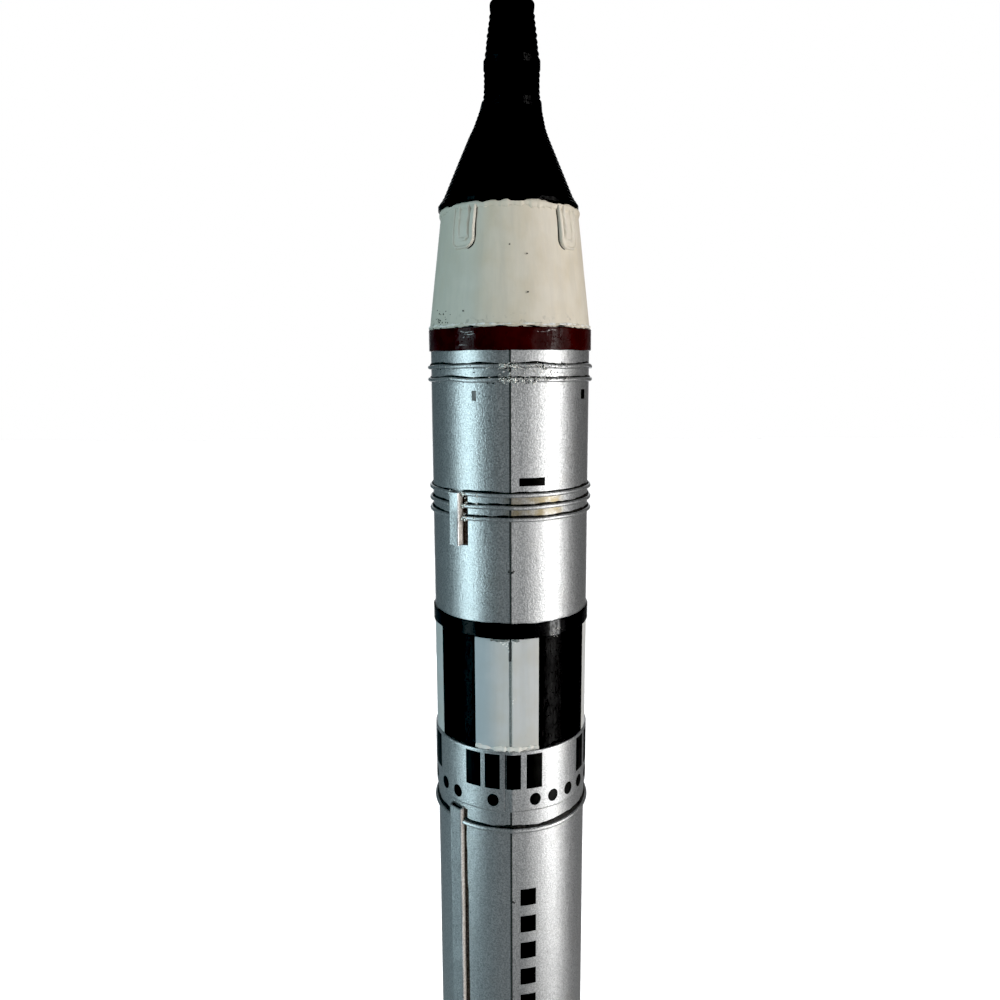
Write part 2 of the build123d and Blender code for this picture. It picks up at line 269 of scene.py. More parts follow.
def field(name, surface, middle, size, body, finish, thick, ragged, rounded=False):
    """A patch of paint on a surface: middle is (azimuth, height), size (width, height) in mm.

    A rounded field is an oval. Ragged is how far its edges waver, in mm.
    """
    azimuth, height = middle
    width, tall = size
    per_mm = math.degrees(1 / surface(azimuth, height))
    across = steps(-1, 1, max(0.02, 0.28 / width) * 2)
    outer, inner = [], []
    for v in steps(-1, 1, max(0.05, 0.6 / tall) * 2):
        outer.append([])
        inner.append([])
        for u in across:
            x, y = (u * math.sqrt(1 - v * v / 2), v * math.sqrt(1 - u * u / 2)) if rounded else (u, v)
            x = x * width / 2 + waver(y * tall / 5, azimuth, ragged) * abs(x)
            y = y * tall / 2 + waver(x / 2.5, azimuth + 0.5, ragged) * abs(y)
            place = (azimuth + x * per_mm, height + y)
            rim = 0.04 if max(abs(u), abs(v)) > 0.999 else 0.0
            outer[-1].append(point(place[0], surface(*place) + thick - rim, place[1]))
            inner[-1].append(point(place[0], surface(*place) - 0.05, place[1]))
    return new_object(name, plate(outer, inner), body, finish, 60.0)


def lumps(name, places, body, finish):
    """Uneven blobs in one piece. Each place is (azimuth, radius, height, size, flat).

    Size is in mm, and flat squeezes a blob outward, where 1 leaves it round.
    """
    solid = bmesh.new()
    for seed, (azimuth, radius, height, size, flat) in enumerate(places):
        place = point(azimuth, radius, height)
        outward = Vector((place.x, place.y, 0)).normalized()
        shift = Vector((seed, seed * 3.7, 1.0))
        for vertex in bmesh.ops.create_icosphere(solid, subdivisions=2, radius=size * MM)["verts"]:
            vertex.co *= 1 + 0.55 * noise.noise(vertex.co / (size * MM) * 1.3 + shift)
            vertex.co -= outward * vertex.co.dot(outward) * (1 - flat)
            vertex.co += place
    mesh = bpy.data.meshes.new(name)
    solid.to_mesh(mesh)
    solid.free()
    return placed(name, mesh, body, finish)


def outline(node, least):
    """Middle (x, y) of a round CAD part in mm, and its outside radius by height.

    Points nearer the middle than least are holes and are left out.
    """
    lowest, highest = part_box(node)
    middle = (lowest + highest) / 2 / MM
    widest = {}
    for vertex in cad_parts[node].data.vertices:
        radius = math.hypot(vertex.co.x / MM - middle.x, vertex.co.y / MM - middle.y)
        height = round(vertex.co.z / MM, 2)
        if radius > least:
            widest[height] = max(radius, widest.get(height, 0.0))
    heights = sorted(widest)
    radii = [widest[h] for h in heights]
    return middle, lambda height: float(np.interp(height, heights, radii))


def upright(height):
    """No shift aside at any height."""
    return 0.0


def lathed(name, node, body, finish, detail, step, wall=None, edge=0.25, segments=96, least=0.0,
           aside=upright):
    """A turned piece that follows a CAD part's outline, with detail(azimuth, height) added to it.

    Without a wall it is solid to its axis. aside(height) moves it to the right, in mm.
    """
    middle, radius_at = outline(node, least)
    bottom, top = low(node), high(node)
    heights = [bottom, *steps(bottom + edge, top - edge, step), top]
    azimuths = [360.0 * i / segments for i in range(segments)]

    def ring(height, radii):
        offset = Vector((middle.x + aside(height), middle.y, 0)) * MM
        return [point(a, max(radius, 0.0), height) + offset for a, radius in zip(azimuths, radii)]

    rows = []
    for height in heights:
        radius = radius_at(height) - (edge if height in (bottom, top) else 0.0)
        rows.append(ring(height, [radius + detail(a, height) for a in azimuths]))
    for height in (top, bottom) if wall is None else heights[::-1]:
        rows.append(ring(height, [0.0 if wall is None else radius_at(height) - wall] * segments))
    piece = new_object(name, swept(rows, ring=True), body, finish, 35.0)
    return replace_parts(piece, node)


# --- materials ---


def feed(tree, value, socket):
    """Set a socket to a constant, or link another node's output to it."""
    if isinstance(value, (int, float)):
        socket.default_value = value
    elif isinstance(value, tuple):
        socket.default_value = (*value, 1) if len(value) == 3 and socket.type == "RGBA" else value
    else:
        tree.links.new(value, socket)


def add_node(tree, kind, inputs, output=0, **settings):
    """Add a shader node, feed its inputs, and return one of its outputs."""
    node = tree.nodes.new("ShaderNode" + kind)
    for name, value in settings.items():
        setattr(node, name, value)
    for socket, value in inputs.items():
        feed(tree, value, node.inputs[socket])
    return node.outputs[output]


class Paint:
    """A principled material with short helpers for its procedural nodes."""

    def __init__(self, name, color, roughness, metallic=0.0, **more):
        self.material = bpy.data.materials.new(name)
        self.material.use_nodes = True
        self.tree = self.material.node_tree
        self.shader = self.tree.nodes["Principled BSDF"]
        self.color(color)
        self.roughness(roughness)
        self.shader.inputs["Metallic"].default_value = metallic
        for socket, value in more.items():
            self.shader.inputs[socket.replace("_", " ")].default_value = value
        coordinates = self.node("TexCoord", {}, "Object")
        self.place = self.node("VectorMath", {0: coordinates, "Scale": 1 / MM}, operation="SCALE")
        self.heights = []

    def node(self, kind, inputs, output=0, **settings):
        return add_node(self.tree, kind, inputs, output, **settings)

    def math(self, operation, first, second=0.0):
        return self.node("Math", {0: first, 1: second}, operation=operation)

    def stretched(self, x=1.0, y=1.0, z=1.0):
        return self.node("VectorMath", {0: self.place, 1: (x, y, z)}, operation="MULTIPLY")

    def axis(self, letter):
        return self.node("SeparateXYZ", {0: self.place}, letter)

    def azimuth(self):
        """Degrees round the rocket from the front."""
        back = self.math("MULTIPLY", self.axis("Y"), -1.0)
        return self.math("DEGREES", self.math("ARCTAN2", self.axis("X"), back))

    def noise(self, size, detail=2.0, vector=None, roughness=0.5):
        """Noise with features of a size in mm, from 0 to 1."""
        inputs = {"Vector": vector or self.place, "Scale": 1 / size, "Detail": detail, "Roughness": roughness}
        return self.node("TexNoise", inputs, "Fac")

    def spread(self, value, start, end, low_value=0.0, high_value=1.0):
        """Map value from start..end to low_value..high_value, clamped and smooth."""
        ends = {"From Min": start, "From Max": end, "To Min": low_value, "To Max": high_value}
        return self.node("MapRange", {"Value": value, **ends}, "Result", interpolation_type="SMOOTHSTEP")

    def between(self, value, start, end, soft):
        """1 inside start..end, falling to 0 over soft outside it."""
        rise = self.spread(value, start - soft, start)
        fall = self.spread(value, end, end + soft, 1.0, 0.0)
        return self.math("MULTIPLY", rise, fall)

    def mix(self, share, first, second):
        return self.node("Mix", {"Factor": share, 6: first, 7: second}, 2, data_type="RGBA")

    def color(self, value):
        feed(self.tree, value, self.shader.inputs["Base Color"])

    def roughness(self, value):
        feed(self.tree, value, self.shader.inputs["Roughness"])

    def bump(self, height, depth):
        """Add a relief of depth in mm; several add up."""
        self.heights.append(self.math("MULTIPLY", height, depth * MM))

    def done(self):
        if self.heights:
            total = self.heights[0]
            for height in self.heights[1:]:
                total = self.math("ADD", total, height)
            normal = self.node("Bump", {"Strength": 1.0, "Distance": 1.0, "Height": total}, "Normal")
            feed(self.tree, normal, self.shader.inputs["Normal"])
        return self.material


def silver_paint(name, stain=None):
    """Brushed-on aluminium paint: fine flakes, faint upright streaks, a brown stain.

    The stain is (lowest azimuth, highest azimuth, bottom, top).
    """
    paint = Paint(name, (0.60, 0.61, 0.62), 0.32, 0.92)
    flakes = paint.noise(0.6, 2.0, roughness=0.6)
    streaks = paint.noise(1.6, 3.0, paint.stretched(1, 1, 0.12))
    clouds = paint.noise(14.0, 3.0)
    shade = paint.mix(paint.spread(flakes, 0.32, 0.68), (0.45, 0.46, 0.47), (0.76, 0.77, 0.78))
    shade = paint.mix(paint.spread(streaks, 0.3, 0.7, 0.0, 0.25), shade, (0.46, 0.47, 0.48))
    shade = paint.mix(paint.spread(clouds, 0.55, 0.8, 0.0, 0.25), shade, (0.52, 0.50, 0.46))
    if stain:
        start, end, bottom, top = stain
        inside = paint.between(paint.azimuth(), start, end, 9.0)
        inside = paint.math("MULTIPLY", inside, paint.between(paint.axis("Z"), bottom, top, 0.3))
        patchy = paint.spread(paint.noise(5.0, 3.0), 0.3, 0.6, 0.25, 0.9)
        inside = paint.math("MULTIPLY", inside, patchy)
        shade = paint.mix(paint.math("MULTIPLY", inside, 0.95), shade, (0.27, 0.21, 0.10))
    paint.color(shade)
    paint.roughness(paint.spread(flakes, 0.2, 0.8, 0.27, 0.38))
    paint.bump(flakes, 0.13)
    paint.bump(streaks, 0.03)
    return paint.done()


def gloss_paint(name, color, roughness=0.12, brush=0.02, level=0.5, worn=None):
    """Thick enamel put on with a brush: sags, brush lines and specks of dust.

    worn is a range of azimuths painted with a streaky grey highlight over the enamel.
    """
    paint = Paint(name, color, roughness, Specular_IOR_Level=level)
    lines = paint.noise(1.1, 2.0, paint.stretched(1, 1, 0.15))
    sags = paint.noise(6.0, 2.0)
    dust = paint.spread(paint.noise(0.7, 1.0), 0.62, 0.74)
    lighter = tuple(min(1.0, c * 1.5 + 0.001) for c in color)
    shade = paint.mix(paint.spread(sags, 0.35, 0.7), color, lighter)
    if worn:
        # Painted highlight: a streaky grey mixed into the colour on those azimuths.
        patch = paint.between(paint.azimuth(), *worn, 2.5)
        sheen_streaks = paint.spread(paint.noise(0.7, 3.0, paint.stretched(1, 1, 0.4)), 0.3, 0.7, 0.15, 1.0)
        shade = paint.mix(paint.math("MULTIPLY", patch, sheen_streaks), shade, (0.32, 0.325, 0.33))
    paint.color(shade)
    paint.roughness(paint.spread(lines, 0.3, 0.8, roughness, roughness + 0.14))
    paint.bump(lines, brush)
    paint.bump(sags, brush * 6)
    paint.bump(dust, brush * 2)
    return paint.done()


def white_paint(name, color=(0.80, 0.735, 0.625), darkened=0.5, cool_shade=0.0, cool_shade_arc=(-80.0, -28.0, 14.0)):
    """Off-white brushed enamel, clouded, with faint upright brush bands and a dirty lower edge.

    cool_shade is how far the azimuths in cool_shade_arc (start, end, softness) get a painted shade, a darker
    and bluer white.
    """
    paint = Paint(name, color, 0.38, Specular_IOR_Level=0.35)
    clouds = paint.noise(9.0, 3.0)
    lines = paint.noise(1.3, 3.0, paint.stretched(1, 1, 0.14))
    bands = paint.noise(3.2, 2.0, paint.stretched(1, 1, 0.05))
    yellower = (color[0] * 0.93, color[1] * 0.90, color[2] * 0.84)
    shade = paint.mix(paint.spread(clouds, 0.3, 0.75), color, yellower)
    shade = paint.mix(paint.spread(bands, 0.4, 0.7, 0.0, 0.5), shade, tuple(c * 0.86 for c in color))
    shade = paint.mix(paint.spread(lines, 0.35, 0.8, 0.0, 0.15), shade, (0.62, 0.60, 0.53))
    # Painted shade: a darker, bluer white on the left side, away from the warm light.
    cool_shade_mask = paint.between(paint.azimuth(), *cool_shade_arc)
    cool_shade_mask = paint.math("MULTIPLY", cool_shade_mask, paint.spread(clouds, 0.2, 0.5, cool_shade * 0.7, cool_shade))
    shade = paint.mix(cool_shade_mask, shade, (color[0] * 0.70, color[1] * 0.82, color[2] * 0.90))
    low_edge = paint.between(paint.axis("Z"), SPACECRAFT_JOINT - 1, SPACECRAFT_JOINT + 1.0, 5.0)
    patchy = paint.spread(paint.noise(2.2, 3.0), 0.54, 0.68, 0.0, darkened)
    shade = paint.mix(paint.math("MULTIPLY", low_edge, patchy), shade, (0.24, 0.23, 0.19))
    paint.color(shade)
    paint.bump(lines, 0.05)
    paint.bump(clouds, 0.25)
    return paint.done()


def bare_metal(name, color, roughness=0.3, streak=(1, 1, 0.1)):
    """Worked bare metal with fine lines along one way and a few stains."""
    paint = Paint(name, color, roughness, 1.0)
    lines = paint.noise(0.35, 3.0, paint.stretched(*streak))
    stains = paint.noise(5.0, 3.0)
    darker = tuple(c * 0.55 for c in color)
    shade = paint.mix(paint.spread(stains, 0.5, 0.8, 0.0, 0.6), color, darker)
    paint.color(shade)
    paint.roughness(paint.spread(lines, 0.2, 0.8, roughness - 0.08, roughness + 0.15))
    paint.bump(lines, 0.02)
    return paint.done()


def wood(name):
    """Dark stained and lacquered wood with grain along X."""
    paint = Paint(name, (0.10, 0.045, 0.02), 0.25, Coat_Weight=0.6, Coat_Roughness=0.08)
    grain = paint.noise(1.5, 5.0, paint.stretched(0.05, 1.0, 1.0), 0.6)
    rings = paint.noise(9.0, 2.0, paint.stretched(0.12, 1.0, 1.0))
    shade = paint.mix(paint.spread(rings, 0.35, 0.65), (0.16, 0.066, 0.026), (0.085, 0.034, 0.015))
    shade = paint.mix(paint.spread(grain, 0.45, 0.7), shade, (0.035, 0.014, 0.008))
    paint.color(shade)
    paint.roughness(paint.spread(grain, 0.3, 0.7, 0.22, 0.4))
    paint.bump(grain, 0.04)
    return paint.done()


def felt(name):
    paint = Paint(name, (0.03, 0.09, 0.05), 0.95, Sheen_Weight=0.4)
    fibres = paint.noise(0.3, 4.0, roughness=0.7)
    paint.color(paint.mix(paint.spread(fibres, 0.3, 0.7), (0.018, 0.06, 0.032), (0.05, 0.13, 0.075)))
    paint.bump(fibres, 0.25)
    return paint.done()


def grime(name, dark=(0.004, 0.004, 0.005), light=(0.03, 0.028, 0.024)):
    """Spotted paint, black unless given colours: for dirt and flux, and for painted shade and light in
    crevices, gaps and along edges.
    """
    paint = Paint(name, dark, 0.5, Specular_IOR_Level=0.2)
    spots = paint.noise(0.8, 3.0)
    paint.color(paint.mix(paint.spread(spots, 0.4, 0.7), dark, light))
    paint.bump(spots, 0.05)
    return paint.done()


DEEP_BLACK = (0.0015, 0.0015, 0.0018)
SOFT_BLACK = (0.002, 0.002, 0.0024)
STAIN = (2.0, 34.0, low("middle_hoop_1"), high("middle_hoop_3"))
# Azimuths of the black collar's painted highlight.
COLLAR_SHEEN = (29.5, 35.0)
STRIPE_COOL_SHADE_ARC = (-31.0, -20.0, 14.0)

materials = {
    "silver": silver_paint("silver_paint"),
    "silver_stained": silver_paint("silver_paint_stained", STAIN),
    "wire": silver_paint("painted_wire"),
    "solder": bare_metal("painted_solder", (0.74, 0.73, 0.69), 0.22),
    "black": gloss_paint("gloss_black_paint", DEEP_BLACK, 0.3, 0.012, 0.02),
    "edge": gloss_paint("black_edge_paint", SOFT_BLACK, 0.28, 0.10, 0.08),
    "collar": gloss_paint("black_collar_paint", SOFT_BLACK, 0.16, 0.03, 0.10, COLLAR_SHEEN),
    "black_stripe": gloss_paint("black_stripe_paint", DEEP_BLACK, 0.24, 0.05, 0.06),
    "mark": gloss_paint("black_mark_paint", (0.002, 0.002, 0.002), 0.4, 0.01, 0.12),
    "faded_mark": gloss_paint("faded_mark_paint", (0.16, 0.16, 0.16), 0.4, 0.01, 0.3),
    "maroon": gloss_paint("maroon_paint", (0.028, 0.006, 0.006), 0.13, 0.07, 0.13),
    "maroon_wrinkle": gloss_paint("maroon_wrinkle_paint", (0.05, 0.02, 0.02), 0.1, 0.02, 1.0),
    # The whites' cool_shade is painted shade on their left sides.
    "white": white_paint("white_paint", cool_shade=0.4),
    "white_pad": white_paint("white_pad_paint", (0.83, 0.775, 0.68), cool_shade=0.2),
    "white_stripe": white_paint("white_stripe_paint", (0.70, 0.715, 0.72), cool_shade=0.7, cool_shade_arc=STRIPE_COOL_SHADE_ARC),
    # A lighter copy of the white: painted highlight on the tops of ridges, lumps and the adapter's foot lip.
    "white_ridge": white_paint("highlit_white_paint", (0.97, 0.97, 0.95)),
    # Black for dirt and for painted shade in crevices, gaps and hollows.
    "grime": grime("crevice_dirt_and_shade"),
    # A brown painted shadow and reflection beside the raceways.
    "brown_grime": grime("brown_grime", (0.035, 0.024, 0.020), (0.10, 0.078, 0.064)),
    # A pale beige, a painted highlight for the raceways' lit side walls.
    "worn_edge": grime("worn_edge", (0.66, 0.61, 0.56), (0.95, 0.91, 0.85)),
    "seam_paint": grime("seam_paint", (0.19, 0.21, 0.205), (0.28, 0.30, 0.295)),
    "seam": grime("seam_grime", (0.040, 0.042, 0.041), (0.075, 0.077, 0.075)),
    "tin": bare_metal("bare_tinplate", (0.60, 0.60, 0.58)),
    "engine": bare_metal("engine_metal", (0.22, 0.21, 0.20), 0.34),
    "ring": gloss_paint("ring_paint", (0.012, 0.012, 0.013), 0.3, 0.02),
    "post": bare_metal("post_steel", (0.56, 0.56, 0.55), 0.24, (0.1, 0.1, 1)),
    "brass": bare_metal("brass", (0.72, 0.50, 0.20), 0.22),
    "wood": wood("lacquered_wood"),
    "felt": felt("felt"),
}

USUAL_SLOTS = {"engine": "engine_metal", "wood": "lacquered_wood", "post": "post_steel"}
for slot, keys in {
    "silver_paint": "silver silver_stained wire solder grime brown_grime worn_edge seam_paint seam",
    "gloss_black_paint": "black edge collar black_stripe mark faded_mark",
    "maroon_paint": "maroon maroon_wrinkle",
    "white_paint": "white white_pad white_stripe white_ridge",
}.items():
    USUAL_SLOTS |= dict.fromkeys(keys.split(), slot)

# --- camera, floor and lights ---

# The eye is in front of the rocket's axis. Its place and its lens are in mm, its angles in degrees.
EYE_DISTANCE = 323.7
EYE_HEIGHT = 575.6
TILT_DOWN = 9.57
TURN_LEFT = 0.76
ROLL = -0.28
LENS = 28.41
BLACK_LEVEL = 0.011
AMBIENT = 0.085
PALE_BELOW = 1.9  # times as bright
COOL_LEFT = (0.95, 1.27, 1.4)
COOL_LIGHT = (0.72, 0.95, 1.0)
WARM_LIGHT = (1.0, 0.985, 0.96)


def add_object(name, data):
    thing = bpy.data.objects.new(name, data)
    bpy.context.scene.collection.objects.link(thing)
    return thing


def set_camera():
    camera = add_object("camera", bpy.data.cameras.new("camera"))
    camera.data.lens = LENS
    camera.data.sensor_width = 36.0
    camera.data.clip_start = 0.01
    turn = Matrix.Rotation(math.radians(TURN_LEFT), 4, "Z")
    tilt = Matrix.Rotation(math.radians(90 - TILT_DOWN), 4, "X")
    roll = Matrix.Rotation(math.radians(ROLL), 4, "Z")
    camera.matrix_world = Matrix.Translation(point(0, EYE_DISTANCE, EYE_HEIGHT)) @ turn @ tilt @ roll
    bpy.context.scene.camera = camera


def soft_light(name, azimuth, distance, height, width, tall, power, color=(1, 1, 1)):
    """An upright soft box aimed level at the rocket's axis. Distances are in metres."""
    light = bpy.data.lights.new(name, "AREA")
    light.shape = "RECTANGLE"
    light.size = width
    light.size_y = tall
    light.energy = power
    light.color = color
    box = add_object(name, light)
    place = point(azimuth, distance / MM, height / MM)
    box.location = place
    target = Vector((0, 0, place.z))
    box.rotation_euler = (target - place).to_track_quat("-Z", "Y").to_euler()
    box.visible_camera = False


def set_floor(half=6.0):
    """A white floor with its own overhead light, so that the object keeps its side lighting."""
    corners = [(-half, -half, 0), (half, -half, 0), (half, half, 0), (-half, half, 0)]
    mesh = bpy.data.meshes.new("floor")
    mesh.from_pydata(corners, [], [(0, 1, 2, 3)])
    paint = Paint("floor_paint", (0.82, 0.82, 0.82), 0.7)
    paint.color(paint.mix(paint.noise(300.0, 2.0), (0.80, 0.80, 0.80), (0.84, 0.84, 0.84)))
    mesh.materials.append(paint.done())
    floor = add_object("floor", mesh)
    floor.visible_diffuse = False
    floor.visible_glossy = False
    floor.visible_shadow = False
    only_floor = bpy.data.collections.new("only_floor")
    only_floor.objects.link(floor)
    sun = bpy.data.lights.new("floor_light", "SUN")
    sun.energy = 4.2
    sun.angle = math.radians(75)
    overhead = add_object("floor_light", sun)
    overhead.rotation_euler = (math.radians(8), math.radians(-6), 0)
    overhead.light_linking.receiver_collection = only_floor


def set_world():
    """A white backdrop for the eye, and a dim room for the surfaces: cooler on its left, paler below."""
    world = bpy.data.worlds.new("studio")
    bpy.context.scene.world = world
    world.use_nodes = True
    tree = world.node_tree
    direction = add_node(tree, "TexCoord", {}, "Generated")
    upward = add_node(tree, "SeparateXYZ", {0: direction}, "Z")
    aside = add_node(tree, "SeparateXYZ", {0: direction}, "X")
    paler = {"From Min": -0.2, "From Max": -0.6, "To Min": AMBIENT, "To Max": AMBIENT * PALE_BELOW}
    strength = add_node(tree, "MapRange", {"Value": upward, **paler}, "Result")
    share = add_node(tree, "MapRange", {"Value": aside, "From Min": -0.8, "From Max": 0.3}, "Result")
    tint = add_node(tree, "Mix", {"Factor": share, 6: COOL_LEFT, 7: (1.0, 1.0, 1.0)}, 2, data_type="RGBA")
    room = tree.nodes["Background"]
    feed(tree, strength, room.inputs["Strength"])
    feed(tree, tint, room.inputs["Color"])
    backdrop = add_node(tree, "Background", {"Color": (1, 1, 1), "Strength": 1.0})
    seen = add_node(tree, "LightPath", {}, "Is Camera Ray")
    both = add_node(tree, "MixShader", {0: seen, 1: room.outputs[0], 2: backdrop})
    feed(tree, both, tree.nodes["World Output"].inputs["Surface"])


def set_tone():
    """A plain transform with the deepest shadows let go to black."""
    settings = bpy.context.scene.view_settings
    settings.view_transform = "Standard"
    settings.use_curve_mapping = True
    settings.curve_mapping.black_level = (BLACK_LEVEL, BLACK_LEVEL, BLACK_LEVEL)
    settings.curve_mapping.update()


set_camera()
set_floor()
set_world()
set_tone()
soft_light("left_box", -63, 0.9, 0.71, 0.34, 1.6, 5.1, COOL_LIGHT)
soft_light("right_box", 60, 0.9, 0.42, 0.95, 2.0, 5.6, WARM_LIGHT)
soft_light("right_strip", 63, 0.88, 0.6, 0.12, 1.6, 4.3, WARM_LIGHT)
soft_light("front_box", 22, 0.9, 0.6, 0.5, 1.5, 0.6)
soft_light("back_box", 180, 1.2, 0.4, 0.8, 2.0, 5.0, (0.95, 0.97, 1.0))

# --- skins ---

FIRST, SECOND, CRAFT = "first_stage", "second_stage", "spacecraft"
BAND_TOP = high("interstage_band")
COLLAR_FOOT = low("black_band")

rolled_sheet("first_stage_sheet", "first_stage_skin", FIRST, "silver")
rolled_sheet("interstage_sheet", "interstage_skin", FIRST, "silver")
rolled_sheet("second_stage_sheet", "second_stage_skin", SECOND, "silver_stained")


def seam_dirt(name, body, bottom, top, finish="seam", width=GROOVE_HALF_WIDTH, rise=-0.03):
    """What fills a lap seam: dirt and flux, or paint. Width is from its middle, in degrees."""
    lip = SKIN + min(seam_rise(-0.01), seam_rise(0.01))
    half = math.radians(width) * SKIN
    rows = []
    for height in steps(bottom, top, 2.5):
        radius = lip + rise + waver(height / 9, 3, 0.06)
        rows.append([])
        for side, out in ((-half, 0.0), (half, 0.0), (half, -0.3), (-half, -0.3)):
            sway = waver(height / 6, 17 + side, 0.12)
            rows[-1].append(point(math.degrees((side + sway) / SKIN), radius + out, height))
    new_object(name, swept(rows), body, finish)


def seam_chips(name, body, height, places):
    """Flat flakes of dark metal beside a lap seam. Each place is (azimuth, rise above height, size)."""
    spots = [(a, SKIN + seam_rise(a) - 0.05, height + up, size, 0.25) for a, up, size in places]
    lumps(name, spots, body, "seam")


seam_dirt("first_stage_seam_dirt", FIRST, TAIL + 1, INTERSTAGE - 1)
seam_dirt("interstage_seam_dirt", FIRST, INTERSTAGE + 1, STAGE_JOINT - 1)
seam_dirt("second_stage_seam_dirt", SECOND, STAGE_JOINT + 1, SPACECRAFT_JOINT - 1)
seam_dirt("white_field_seam", FIRST, BAND_TOP + 1.2, COLLAR_FOOT - 8, "seam_paint", 0.95, 0.12)
seam_dirt("white_field_seam_top", FIRST, COLLAR_FOOT - 9, COLLAR_FOOT - 1.2, "seam", 1.15, 0.13)
seam_chips("second_stage_chips", SECOND, STAGE_JOINT + 24,
           [(-0.8, 0.1, 0.6), (0.9, -0.2, 0.65), (2.0, 0.3, 0.45)])
seam_chips("first_stage_chips", FIRST, INTERSTAGE - 32, [(1.0, 0.0, 0.55), (2.1, -0.4, 0.45)])

# --- bands ---


def wrapped_band(name, node, body, finish, seam=180.0, uneven=0.15, inner=0.0, rise=1.0):
    """A strip of sheet wrapped round a skin, its edges rounded and a little uneven.

    Rise is the share of the skins' flat edge at the seam that shows through it.
    """
    bottom, top, outer = low(node), high(node), reach(node)
    thick = outer - SKIN
    soft = min(0.25, thick * 0.4)
    section = [
        (SKIN + inner, bottom),
        (outer - soft, bottom),
        (outer, bottom + soft),
        *[(outer, h) for h in steps(bottom + soft * 3, top - soft * 3, 2.0)],
        (outer, top - soft),
        (outer - soft, top),
        (SKIN + inner, top),
    ]

    def shape(azimuth, radius, height):
        grooved = in_groove(azimuth, seam) and radius > SKIN + inner
        radius += seam_rise(azimuth) * (rise if radius > SKIN + inner else 1.0) + dent(azimuth, height)
        radius -= thick * GROOVE_SHARE if grooved else 0.0
        share = (height - bottom) / (top - bottom)
        edge_wave = noise.noise(Vector((azimuth * 0.09, share * 3.0, outer))) * uneven
        return point(azimuth, radius, height + edge_wave)

    piece = ring_solid(name, section, around(seam), shape, body, finish, 50.0)
    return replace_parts(piece, node)


wrapped_band("interstage_wrap", "interstage_band", FIRST, "silver", BAND_SEAM)
wrapped_band("aft_wrap", "aft_band", FIRST, "silver", BAND_SEAM, 0.05)
wrapped_band("black_collar", "black_band", FIRST, "collar", uneven=0.35, inner=0.1, rise=0.6)
wrapped_band("maroon_wrap", "maroon_band", SECOND, "maroon", uneven=0.2, rise=0.15)


def node_middle(node):
    return (low(node) + high(node)) / 2


def worn_spot(rng):
    """The place of one lump of bare metal on the black collar."""
    azimuth = rng.gauss(32.5, 2.2)
    height = node_middle("black_band") - abs(rng.gauss(0, 1.5))
    return azimuth, reach("black_band") - 0.04, height, rng.uniform(0.1, 0.22), 0.4


rng = random.Random(5)
lumps("black_collar_wear", [worn_spot(rng) for _ in range(22)], FIRST, "solder:gloss_black_paint")

# --- wires soldered round the skins ---

RACEWAY_AZIMUTHS = {"front_raceway": -43.3, "rear_raceway": 136.7, "short_raceway": -39.2}
FIRST_ARCS = [(-36.9, 130.3), (143.1, 310.3)]
SECOND_ARCS = [(-34.4, 316.0)]
WHOLE_RING = [(1.0, 359.0)]
WIRE_RADIUS = (high("upper_hoop_1") - low("upper_hoop_1")) / 2
WIRE_PROUD = reach("upper_hoop_1") - SKIN
WIRE_SIDES = 10
BEAD_RADIUS = 1.0
BEAD_PROUD = 1.5


def soldered_wire(node, body, arcs, radius, proud, wave, dirt):
    """A wire laid round a skin in one or more arcs, with a black strip in the crevice above it for dirt and
    painted shade.
    """
    height = node_middle(node)
    turns = [math.tau * i / WIRE_SIDES for i in range(WIRE_SIDES)]
    wire_section = [(math.cos(t) * radius, math.sin(t) * radius) for t in turns]
    dirt_section = [(-0.15, 0.2), (proud * 0.42, 0.45), (proud * 0.36, 0.85), (0.12, 1.3), (-0.15, 1.4)]
    wires, dirts = [], []
    for start, end in arcs:
        rows = []
        for azimuth in steps(start, end, 2.0):
            out = SKIN + proud - radius + seam_rise(azimuth) + waver(azimuth / 15, height + 9, 0.06)
            middle = height + waver(azimuth / 22, height, wave)
            rows.append([point(azimuth, out + x, middle + up) for x, up in wire_section])
        wires.append(swept(rows))
        # The black strip above the wire: dirt and painted shade in its crevice.
        rows = []
        for azimuth in steps(start, end, 1.0):
            foot = height + waver(azimuth / 22, height, wave) + radius - 0.8
            grow = dirt * (0.8 + waver(azimuth / 5, height + 3, 0.2) + waver(azimuth / 24, height + 5, 0.3))
            skin, reached = SKIN + seam_rise(azimuth), min(grow, 1.1)
            rows.append([point(azimuth, skin + x * reached, foot + up * grow) for x, up in dirt_section])
        dirts.append(swept(rows))
    piece = new_object(f"{node}_wire", joined(wires), body, "wire", 40.0)
    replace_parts(piece, node)
    new_object(f"{node}_dirt", joined(dirts), body, "grime", 40.0)


for node in sorted(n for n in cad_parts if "hoop" in n):
    if node.startswith("upper"):
        soldered_wire(node, SECOND, WHOLE_RING, WIRE_RADIUS, WIRE_PROUD - 0.15, 0.55, 1.25)
    elif node.startswith("middle"):
        soldered_wire(node, SECOND, SECOND_ARCS, WIRE_RADIUS, WIRE_PROUD - 0.1, 0.3, 1.4)
    else:
        soldered_wire(node, FIRST, FIRST_ARCS, WIRE_RADIUS, WIRE_PROUD - 0.1, 0.3, 1.3)
soldered_wire("splice_bead", FIRST, FIRST_ARCS, BEAD_RADIUS, BEAD_PROUD, 0.15, 1.9)


